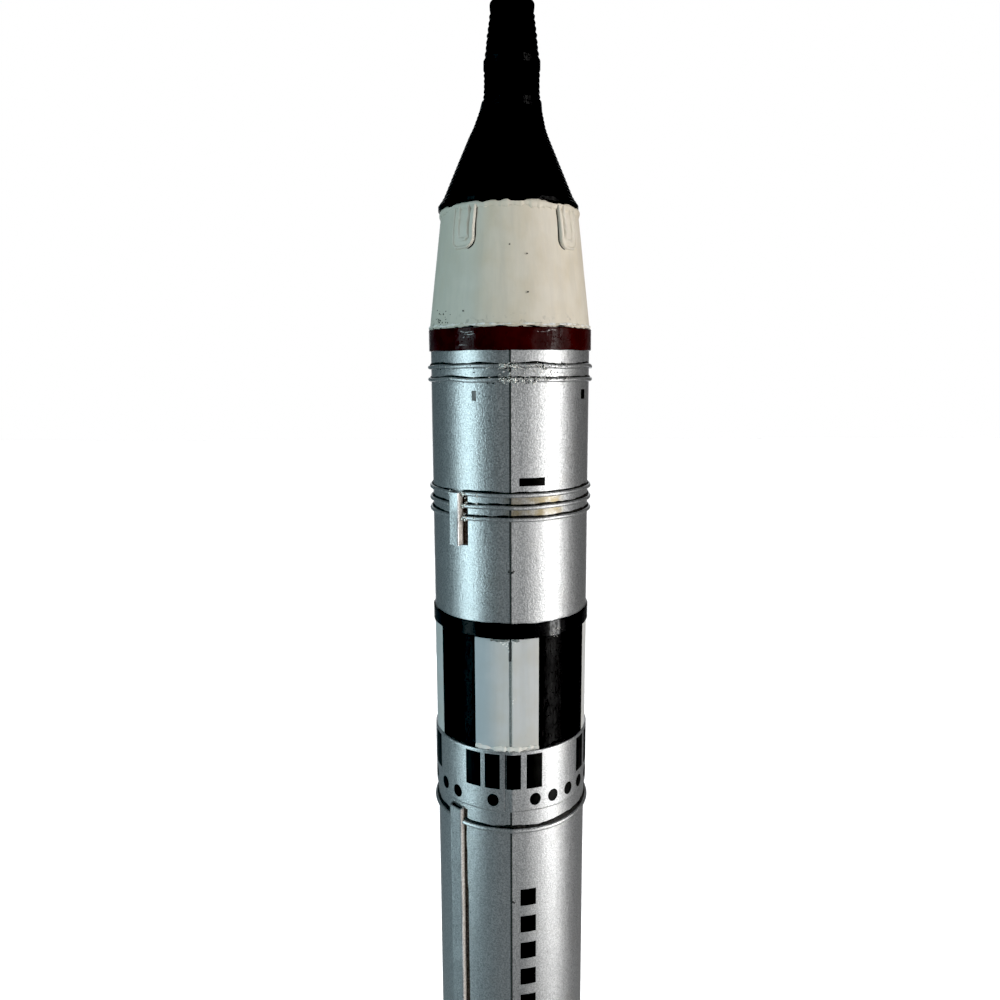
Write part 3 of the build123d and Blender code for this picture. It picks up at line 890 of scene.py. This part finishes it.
def solder_row(rng, start, end, height, count, size):
    """Places for lumps of solder scattered along a wire."""
    places = []
    for _ in range(count):
        azimuth = rng.uniform(start, end)
        above = rng.gauss(0, 0.75)
        wire = math.sqrt(max(0.0, 1.0 - (above / WIRE_RADIUS) ** 2)) * WIRE_RADIUS
        out = WIRE_PROUD - WIRE_RADIUS + wire if wire else rng.uniform(0.0, 0.3)
        radius = SKIN + seam_rise(azimuth) + out
        places.append((azimuth, radius, height + above, size * rng.uniform(0.5, 1.15), 0.7))
    return places


def solder_rows(rng, nodes, rows):
    """Solder on each of some wires. Each row is (start, end, count, size, drop below the wire)."""
    places = []
    for node in nodes:
        for start, end, count, size, drop in rows:
            places += solder_row(rng, start, end, node_middle(node) - drop, count, size)
    return places


rng = random.Random(11)
UPPER_HOOPS = ("upper_hoop_1", "upper_hoop_2")
MIDDLE_HOOPS = ("middle_hoop_1", "middle_hoop_2", "middle_hoop_3")
LOWER_HOOPS = ("tail_hoop_1", "tail_hoop_2", "tank_hoop_1", "tank_hoop_2", "tank_hoop_3")
UPPER_SOLDER = [(-8, 26, 120, 0.27, 0), (26, 42, 16, 0.22, 0), (-62, -8, 22, 0.24, 0), (-7, 4, 22, 0.42, 0)]
UPPER_GRIT = [(-8, 40, 60, 0.24, 0), (-60, -8, 8, 0.26, 0.5)]
MIDDLE_SOLDER = [(-35.2, -31.0, 10, 0.6, 0), (-47.0, -44.0, 4, 0.5, 0), (-26, -22, 3, 0.4, 0)]
LOWER_SOLDER = [(edge - 1.5, edge + 1.5, 4, 0.6, 0) for edge in (-49.8, -36.8, 130.2, 143.2)]

spots = solder_rows(rng, UPPER_HOOPS, UPPER_SOLDER)
spots += solder_row(rng, -5, 30, sum(node_middle(node) for node in UPPER_HOOPS) / 2, 40, 0.25)
lumps("upper_hoop_solder", spots, SECOND, "solder")
lumps("upper_hoop_grit", solder_rows(rng, UPPER_HOOPS, UPPER_GRIT), SECOND, "grime")
lumps("middle_hoop_solder", solder_rows(rng, MIDDLE_HOOPS, MIDDLE_SOLDER), SECOND, "solder")
lumps("tank_hoop_solder", solder_rows(rng, LOWER_HOOPS, LOWER_SOLDER), FIRST, "solder")

# --- raceways ---

RACEWAY_SHEET = 0.45
RACEWAY_BEND = 0.6
RACEWAY_SWAY = 0.12


def measured(node, azimuth):
    """Width of a raceway and the distance of its face from the rocket's axis, in mm."""
    turn = Matrix.Rotation(-math.radians(azimuth), 3, "Z")
    turned = [turn @ vertex.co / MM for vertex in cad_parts[node].data.vertices]
    return max(v.x for v in turned) - min(v.x for v in turned), -min(v.y for v in turned)


def raceway(node, name, body, slant=1.2, darkened=1.75):
    """A channel of bent sheet, open at its top, with a painted highlight on its right side wall, painted
    shade inside it and a painted shadow beside it.

    Slant is how much lower the top is at its outer face. Darkened is the width of the painted shadow on the
    skin.
    """
    azimuth = RACEWAY_AZIMUTHS[node]
    width, face = measured(node, azimuth)
    bottom, top = low(node), high(node)
    half = width / 2
    inside, lining = half - RACEWAY_SHEET, face - RACEWAY_SHEET
    root = math.sqrt(SKIN**2 - half**2) - 0.3
    turn = Matrix.Rotation(math.radians(azimuth), 3, "Z")

    def strip(profile, low_end, high_end, ends=None):
        rows = []
        for height in steps(low_end, high_end, 3.0):
            rows.append([])
            for x, out in profile:
                lift = slant * (out - root) / (face - root) if height == high_end else 0.0
                x += waver(height / 18, azimuth, RACEWAY_SWAY)
                out -= abs(waver(height / 14, azimuth + x, RACEWAY_SWAY * 0.8)) if out > root else 0.0
                rows[-1].append(turn @ Vector((x, -out, height - lift)) * MM)
        return swept(rows, ends=ends)

    bend, corner = RACEWAY_BEND, RACEWAY_BEND * 0.3
    right = [(half - bend, face), (half - corner, face - corner), (half, face - bend), (half, root)]
    section = [(-x, out) for x, out in right[::-1]] + right
    section += [(inside, root), (inside, lining), (-inside, lining), (-inside, root)]
    walls = [(0, 1, 10, 11), (1, 2, 3, 10), (3, 4, 9, 10), (4, 5, 6, 9), (6, 7, 8, 9)]
    piece = new_object(name, strip(section, bottom, top, walls), body, "silver", 18.0)
    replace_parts(piece, node)
    core = [(-inside, root), (-inside, lining), (inside, lining), (inside, root)]
    # Painted shade: a black core inside the channel, below its open top.
    new_object(f"{name}_dirt", strip(core, bottom + 0.5, top - 1.2), body, "grime")
    # Painted highlight: a pale strip along the channel's right side wall.
    worn = [(half - 0.1, root + 0.3), (half - 0.1, face - 0.5)]
    worn += [(half + 0.04, face - bend), (half + 0.04, root + 0.3)]
    new_object(f"{name}_painted_sheen_side", strip(worn, bottom + 0.3, top - 0.4), body, "worn_edge")
    # Painted shadow and reflection: a brown strip on the skin beside the channel's right side.
    film = [(-0.1, -0.6), (-0.1, 0.2), (0.3, 0.12), (darkened, 0.05), (darkened + 0.1, -0.6)]
    gap = [(half + x, math.sqrt(SKIN**2 - (half + x) ** 2) + rise) for x, rise in film]
    new_object(f"{name}_side_painted_shadow", strip(gap, bottom, top - 0.8), body, "brown_grime")


raceway("front_raceway", "front_cable_channel", FIRST)
raceway("rear_raceway", "rear_cable_channel", FIRST)
raceway("short_raceway", "short_cable_channel", SECOND, 0.9, 2.2)

spots = []
for i in range(6):
    height = low("short_raceway") + 0.4 + (i % 3) * 0.5
    spots.append((-42.5 + i * 1.2, SKIN + 1.0 + (i % 2) * 0.6, height, 0.65, 0.9))
lumps("short_channel_solder", spots, SECOND, "solder")

# --- painted fields and marks ---

STRIPE_EDGES = (-60.5, -26.5, 20.5, 67.5, 112.5, 157.5, 202.5, 252.5, 299.5)
STRIPE_OVERLAP = 0.3
for i, (start, end) in enumerate(zip(STRIPE_EDGES, STRIPE_EDGES[1:])):
    finish, thick = ("white_stripe", 0.08) if i % 2 else ("black_stripe", 0.12)
    middle = ((start + end) / 2, (BAND_TOP + COLLAR_FOOT) / 2)
    size = (math.radians(end - start) * SKIN + STRIPE_OVERLAP, COLLAR_FOOT - BAND_TOP + STRIPE_OVERLAP)
    field(f"interstage_field_{i + 1}", skin_surface, middle, size, FIRST, finish, thick, 0.01)


MARK_THICK = 0.06


def mark(name, surface, middle, size, body=FIRST, finish="mark", rounded=False):
    """A small flat mark of black paint."""
    field(name, surface, middle, size, body, finish, MARK_THICK, 0.02, rounded)


RECTANGLE_WIDTH, RECTANGLE_TALL, RECTANGLE_PITCH = 6.5, 14.7, 15.0
RECTANGLE_HEIGHT = BAND_TOP - 8.65
GROUP_MIDDLES = (-6.0, 84.5, 175.0, 268.0)
for group, group_middle in enumerate(GROUP_MIDDLES, start=1):
    for place in range(4):
        azimuth = group_middle + (place - 1.5) * RECTANGLE_PITCH + waver(place, group, 1.0)
        size = (RECTANGLE_WIDTH + waver(place, 5 + group, 0.5), RECTANGLE_TALL)
        mark(f"band_mark_{group}_{place + 1}", band_surface, (azimuth, RECTANGLE_HEIGHT), size)

DOT_COUNT, DOT_PITCH, DOT_START, DOT_SIZE = 24, 14.8, -57.1, (4.7, 5.3)
DOT_HEIGHT = low("interstage_band") + 4.9
DOT_GAPS = (2, 4)
for i in range(DOT_COUNT):
    if i not in DOT_GAPS:
        middle = (DOT_START + i * DOT_PITCH + waver(i, 2, 1.0), DOT_HEIGHT + waver(i, 4, 0.5))
        mark(f"band_dot_{i + 1}", band_surface, middle, DOT_SIZE, rounded=True)

MARK_HEIGHT, MARK_SIZE = SPACECRAFT_JOINT - 24.9, (3.5, 3.7)
BAR_HEIGHT, BAR_SIZE = SPACECRAFT_JOINT - 57.0, (10.1, 3.1)
mark("stage_mark_left", skin_surface, (-25.0, MARK_HEIGHT), (1.8, MARK_SIZE[1]), SECOND, "faded_mark")
mark("stage_mark_right", skin_surface, (62.7, MARK_HEIGHT), MARK_SIZE, SECOND)
mark("stage_mark_rear", skin_surface, (180.0, MARK_HEIGHT), MARK_SIZE, SECOND)
mark("stage_bar_front", skin_surface, (15.2, BAR_HEIGHT), BAR_SIZE, SECOND)
mark("stage_bar_rear", skin_surface, (195.2, BAR_HEIGHT), BAR_SIZE, SECOND)

BLOCK_COUNT, BLOCK_PITCH, BLOCK_SIZE = 10, 12.2, (6.6, 7.4)
BLOCK_TOP = INTERSTAGE - 30.4
for side, azimuth in (("front", 12.7), ("rear", 192.7)):
    for i in range(BLOCK_COUNT):
        mark(f"{side}_block_{i + 1}", skin_surface, (azimuth, BLOCK_TOP - i * BLOCK_PITCH), BLOCK_SIZE)

# --- ridges of paint ---

RIDGE_SECTION = ((-0.2, -1), (0.5, -0.8), (1, -0.2), (0.9, 0.4), (0.4, 0.9), (-0.2, 1))


def paint_ridge(name, surface, arc, height, size, body, finish, tall, gaps):
    """An uneven bead of paint along an edge. It thins and swells, and is lost where gaps cuts it."""
    rows = []
    for azimuth in steps(*arc, 0.8):
        swell = 1.0 + waver(azimuth / 2.6, height, 1.3) * gaps + waver(azimuth / 11, height + 1, 1.0) * gaps
        swell = max(0.12, swell)
        middle = height + waver(azimuth / 7, height + 2, 0.5) * tall
        radius = surface(azimuth, height)
        rows.append([
            point(azimuth, radius + out * size * swell, middle + up * size * tall * swell)
            for out, up in RIDGE_SECTION
        ])
    new_object(name, swept(rows), body, finish, 60.0)


def maroon_surface(azimuth, height):
    return reach("maroon_band") - 0.05


# Black paint for the band's edge line, painted shade in the gap under the adapter's lip and painted shadows
# beside the pads.
BLACK_SHADE_AND_DIRT = "grime:gloss_black_paint"
# The white field's ridge is in the highlit white, a painted highlight.
for name, arc, height, size, finish, tall, gaps in (
    ("white_field_ridge", (-26, 20), BAND_TOP + 1.0, 0.78, "white_ridge", 1.2, 0.6),
    ("black_field_ridge", (21, 66), BAND_TOP + 0.7, 0.4, "black_stripe", 1.2, 0.9),
    ("band_edge_paint", (-55, 40), BAND_TOP + 0.15, 0.22, BLACK_SHADE_AND_DIRT, 1.2, 1.0),
):
    paint_ridge(name, skin_surface, arc, height, size, FIRST, finish, tall, gaps)

# Lumps of white paint, as (azimuth, drop below the collar): those under it, and those beside the seam.
RUNS = [(-7.0, 1.5), (-5.6, 2.3), (-4.2, 1.8), (-3.0, 2.8), (-1.8, 3.6), (-2.2, 2.0), (3.0, 1.4), (-1.3, 5.0)]
SEAM_LUMPS = [(1.5, 25.0), (2.8, 24.6), (1.3, 26.2)]
spots = [(a, skin_surface(a, 0) + 0.08, COLLAR_FOOT - drop, 0.36, 0.5) for a, drop in RUNS]
spots += [(a, skin_surface(a, 0) + 0.1, COLLAR_FOOT - drop, 0.3, 0.6) for a, drop in SEAM_LUMPS]
# These lumps are in the highlit white, a painted highlight.
lumps("white_field_lumps", spots, FIRST, "white_ridge")
paint_ridge("field_top_paint", skin_surface, (-14, 6), COLLAR_FOOT - 0.5, 0.35, FIRST,
            "seam_paint:gloss_black_paint", 1.4, 1.2)

for name, start, end, drop in (
    ("m34_m25", -34, -25, 1.6), ("m31_m23_5", -31, -23.5, 2.5), ("m33_m27", -33, -27, 3.4),
    ("m35_m29", -35, -29, 6.9), ("18_33", 18, 33, 1.5),
):
    height = high("maroon_band") - drop
    paint_ridge(f"maroon_wrinkle_{name}", maroon_surface, (start, end), height, 0.17, SECOND,
                "maroon_wrinkle", 1.6, 1.0)

# The foot's lip is in the highlit white, a painted highlight; the black line under it is painted shade in the
# gap.
for name, rise, size, finish, tall, gaps in (
    ("adapter_foot_lip", 1.0, 0.34, "white_ridge", 0.9, 0.9),
    ("adapter_foot_gap", 0.1, 0.2, BLACK_SHADE_AND_DIRT, 1.2, 1.1),
    ("adapter_foot_paint", 0.75, 0.32, "white", 1.5, 0.8),
):
    height = SPACECRAFT_JOINT + rise
    paint_ridge(name, adapter_surface, (-180, 180), height, size, CRAFT, finish, tall, gaps)

# --- adapter ---


def rim_wave(azimuth):
    """How far the black paint of the heat shield runs below its edge, in mm."""
    return waver(azimuth / 9.0, 21, 0.75) + waver(azimuth / 3.0, 22, 0.35)


def adapter_point(azimuth, offset, height):
    return point(azimuth, adapter_surface(azimuth, height) + offset, height)


SHELL_TOP = HEAT_SHIELD - 0.6
section = [(0.0, SPACECRAFT_JOINT), *[(0.0, h) for h in steps(SPACECRAFT_JOINT + 0.3, SHELL_TOP, 2.0)]]
section += [(-SHEET, h) for h in steps(SHELL_TOP, SPACECRAFT_JOINT, 12.0)]
piece = ring_solid("adapter_cone", section, steps(0, 358, 2.0), adapter_point, CRAFT, "white", 50.0)
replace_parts(piece, "adapter_shell")

BRIM = [(-0.3, 0.0), (0.3, -0.1), (0.6, -0.6), (0.62, -1.2), (0.4, -1.9), (0.05, -2.3), (-0.3, -2.3)]


def brim_point(azimuth, out, down):
    swell = 1.0 + waver(azimuth / 6, 31, 0.4) + waver(azimuth / 2.2, 32, 0.3)
    height = HEAT_SHIELD - 0.15 + (rim_wave(azimuth) if down > -0.2 else 0.0) + down * swell
    return point(azimuth, ADAPTER_NECK + 0.1 + out * swell, min(height, HEAT_SHIELD + 0.4))


ring_solid("adapter_brim", BRIM, steps(0, 359, 1.0), brim_point, CRAFT, "white", 70.0)

FAIRING_AZIMUTHS = (-38.0, 51.0, 142.0, 232.0)
PAD_WIDTH = 10.9
BEAD_HALF = 0.55
BEAD_SIDE = PAD_WIDTH / 2 - BEAD_HALF
PAD_CORNER = 3.2
INNER_CORNER = 1.2
INNER_INSET = 2.7
PAD_LIFT = 0.2  # from the CAD piece's lower end


def bead(distance, half, tall):
    """Height of a rounded ridge at a distance from its middle line."""
    return tall * math.sqrt(max(0.0, 1 - (distance / half) ** 2))


def from_u(x, y, side, corner, foot):
    """Distance in mm from a U-shaped line: half as wide as side, its lowest point at foot."""
    if y > foot + corner:
        return abs(abs(x) - side)
    if abs(x) < side - corner:
        return abs(y - foot)
    return abs(math.hypot(abs(x) - side + corner, y - corner - foot) - corner)


def facing(azimuth):
    """1 if a pad's right side is the one that faces the seam, or -1 for its left side."""
    return -1 if 0 < azimuth < 180 else 1


def pad_height(x, y, tall, seed):
    """Relief of a U-shaped pad, x from its middle and y up from its lower end, in mm.

    The side away from the seam is flatter, with the paint thick over it.
    """
    outer = from_u(x, y, BEAD_SIDE, PAD_CORNER, BEAD_HALF)
    inner = from_u(x, y, BEAD_SIDE - INNER_INSET, INNER_CORNER, BEAD_HALF + INNER_INSET)
    inner_half = 0.8 + waver(y / 2, seed + 3, 0.3)
    inner_tall = 1.05 + waver(y / 1.7 + x, seed + 1, 0.5)
    relief = max(bead(outer, BEAD_HALF, 1.25 + waver(y / 3, seed, 0.25)), bead(inner, inner_half, inner_tall))
    if abs(x) < BEAD_SIDE and y > BEAD_HALF + 1:
        relief = max(relief, 0.3 * min(1.0, max(0.0, (tall - 1.5 - y) / 1.5)))
    return relief * (0.72 + 0.28 * facing(seed) * x / BEAD_SIDE)


def adapter_pad(number, azimuth):
    """A raised U-shaped pad with a lumpy upright ridge in it and a hollow at its top."""
    node = f"adapter_fairing_{number}"
    bottom, top = low(node) + PAD_LIFT, HEAT_SHIELD - 1.2
    outer, inner = [], []
    across = steps(-PAD_WIDTH / 2, PAD_WIDTH / 2, 0.14)
    for y in steps(0, top - bottom, 0.28):
        height = bottom + y
        base = adapter_surface(azimuth, height)
        sway = waver(y / 6, azimuth, 0.3)
        places = [azimuth + math.degrees((x + sway) / base) for x in across]
        reliefs = [pad_height(x, y, top - bottom, azimuth) for x in across]
        outer.append([adapter_point(a, relief - 0.03, height) for a, relief in zip(places, reliefs)])
        inner.append([adapter_point(a, -0.25, height) for a in places])
    piece = new_object(f"adapter_pad_{number}", plate(outer, inner), CRAFT, "white_pad", 70.0)
    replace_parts(piece, node)


def pad_shadow(number, azimuth):
    """A painted shadow along the corner between the adapter and the side of a pad that faces the seam."""
    bottom, top = low(f"adapter_fairing_{number}") + PAD_LIFT, HEAT_SHIELD - 2.5
    side = PAD_WIDTH / 2 + 0.05
    line = [(side, height) for height in steps(top - bottom, PAD_CORNER, 1.0)]
    for turn in steps(0, 80, 10):
        angle = math.radians(turn)
        line.append((side - PAD_CORNER * (1 - math.cos(angle)), PAD_CORNER * (1 - math.sin(angle))))
    rows = []
    for (x, y), before, after in zip(line, line[:1] + line, line[1:] + line[-1:]):
        along = Vector((after[0] - before[0], after[1] - before[1])).normalized()
        half = 0.3 + waver(y / 2, azimuth, 0.15)
        rows.append([])
        for across, out in ((-half, -0.2), (-half, 0.1), (half, 0.04), (half, -0.2)):
            height = bottom + y - along.x * across
            mm_aside = facing(azimuth) * (x + along.y * across) + waver(y / 6, azimuth, 0.3)
            place = azimuth + math.degrees(mm_aside / adapter_surface(azimuth, height))
            rows[-1].append(adapter_point(place, out, height))
    new_object(f"adapter_pad_{number}_dirt", swept(rows), CRAFT, BLACK_SHADE_AND_DIRT)


for number, azimuth in enumerate(FAIRING_AZIMUTHS, start=1):
    adapter_pad(number, azimuth)
    pad_shadow(number, azimuth)


def foot_smudge(rng):
    """The place of one spot of dirt near the adapter's foot, at its left."""
    height = SPACECRAFT_JOINT + 0.9 + abs(rng.gauss(0, 2.6))
    azimuth = rng.gauss(-57, 6)
    return azimuth, adapter_surface(azimuth, height), height, rng.uniform(0.12, 0.34), 0.5


rng = random.Random(17)
lumps("adapter_foot_smudges", [foot_smudge(rng) for _ in range(26)], CRAFT, "grime:white_paint")
# Each speck is (azimuth, radius, height above the adapter's foot).
SPECKS = [(0.0, 29.5, 29.0), (12.4, 29.2, 25.9), (12.3, 30.9, 12.3)]
SPECKS += [(-33, 31.6, 6), (140, 30.4, 16), (201, 29.4, 22)]
spots = [(a, radius, SPACECRAFT_JOINT + up, 0.28, 0.6) for a, radius, up in SPECKS]
lumps("adapter_specks", spots, CRAFT, "grime:white_paint")

# --- crew cabin ---

THIN_WALL = 0.6
RIB_PITCH = 1.5
RIB_DEPTH = 0.13
RING_SUNK = 0.17

# The cabin was soldered on a little to the left, and its neck a little to the right of it.
NECK = low("cabin_collar")
LEAN_HEIGHTS = (HEAT_SHIELD, NECK - 9, NECK - 2, NECK + 4, high("nose_cap"))
LEAN_OFFSETS = (-0.5, -0.3, 0.35, 0.95, 1.15)


def lean(height):
    return float(np.interp(height, LEAN_HEIGHTS, LEAN_OFFSETS))


def cabin_ribs(azimuth, height):
    """Fine corrugations round the cabin and the unevenness of its beaten sheet."""
    return RIB_DEPTH * math.sin(height * math.tau / RIB_PITCH) + dent(azimuth, height, 0.16, 9.0)


def small_dents(azimuth, height):
    return dent(azimuth, height, 0.12, 8.0)


def thin_ridge(azimuth, height):
    """The ring hardly stands out of the paint round it."""
    return small_dents(azimuth, height) - RING_SUNK


lathed("heat_shield_rim", "heat_shield", CRAFT, "edge", step=0.5, detail=small_dents, aside=lean)
lathed("cabin_skin", "cabin_shell", CRAFT, "black", wall=THIN_WALL, step=0.26, detail=cabin_ribs, aside=lean)
for node, finish in (
    ("cabin_collar", "edge"), ("thruster_section", "black"), ("ridge_ring", "edge"),
    ("radar_section", "black"), ("nose_cap", "black"),
):
    detail = thin_ridge if node == "ridge_ring" else small_dents
    lathed(f"{node}_skin", node, CRAFT, finish, step=0.6, detail=detail, edge=0.12, aside=lean)

# --- engines and stand ---

# Heights of what is turned into the bells, the board and the posts.
BELL_BANDS = (24.0, 30.0, 36.0, 42.0)
BOARD_COVE, BOARD_LINE = 9.2, 4.0
POST_GROOVES = (16.5, 18.5, 46.0, 48.0)


def bell_bands(azimuth, height):
    """Stiffening bands round an engine bell."""
    return sum(bead(height - h, 0.8, 0.35) for h in BELL_BANDS)


def board_moulding(azimuth, height):
    """A deep groove and a fine one round the board's edge."""
    return -1.1 * bead(height - BOARD_COVE, 0.7, 1.0) - 0.5 * bead(height - BOARD_LINE, 0.5, 1.0)


def post_turning(azimuth, height):
    """Two turned grooves near each end of a post."""
    return -sum(bead(height - h, 0.5, 0.5) for h in POST_GROOVES)


for number in (1, 2):
    lathed(f"engine_bell_{number}_spun", f"engine_bell_{number}", FIRST, "engine", wall=THIN_WALL, step=0.4,
           detail=bell_bands, edge=0.1, segments=64)
lathed("board_turned", "base_board", "stand", "wood", step=0.3, detail=board_moulding, segments=160,
       least=60.0)
for number in range(1, 5):
    lathed(f"post_{number}_turned", f"stand_post_{number}", "stand", "post", step=0.3, detail=post_turning,
           segments=48, least=3.0)

for key, nodes in {
    "tin": ("adapter_plug", "coupler_sleeve", "splice_sleeve", "forward_bulkhead", "lower_bulkhead",
            "upper_bulkhead", "thrust_plate"),
    "engine": ("engine_chamber_1", "engine_chamber_2", "exhaust_pipe_1", "exhaust_pipe_2"),
    "ring": ("launch_ring",),
    "brass": ("post_screws", "ring_screws"),
    "felt": ("base_felt",),
}.items():
    for node in nodes:
        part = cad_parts[node]
        part.data.materials.clear()
        part.data.materials.append(materials[key])
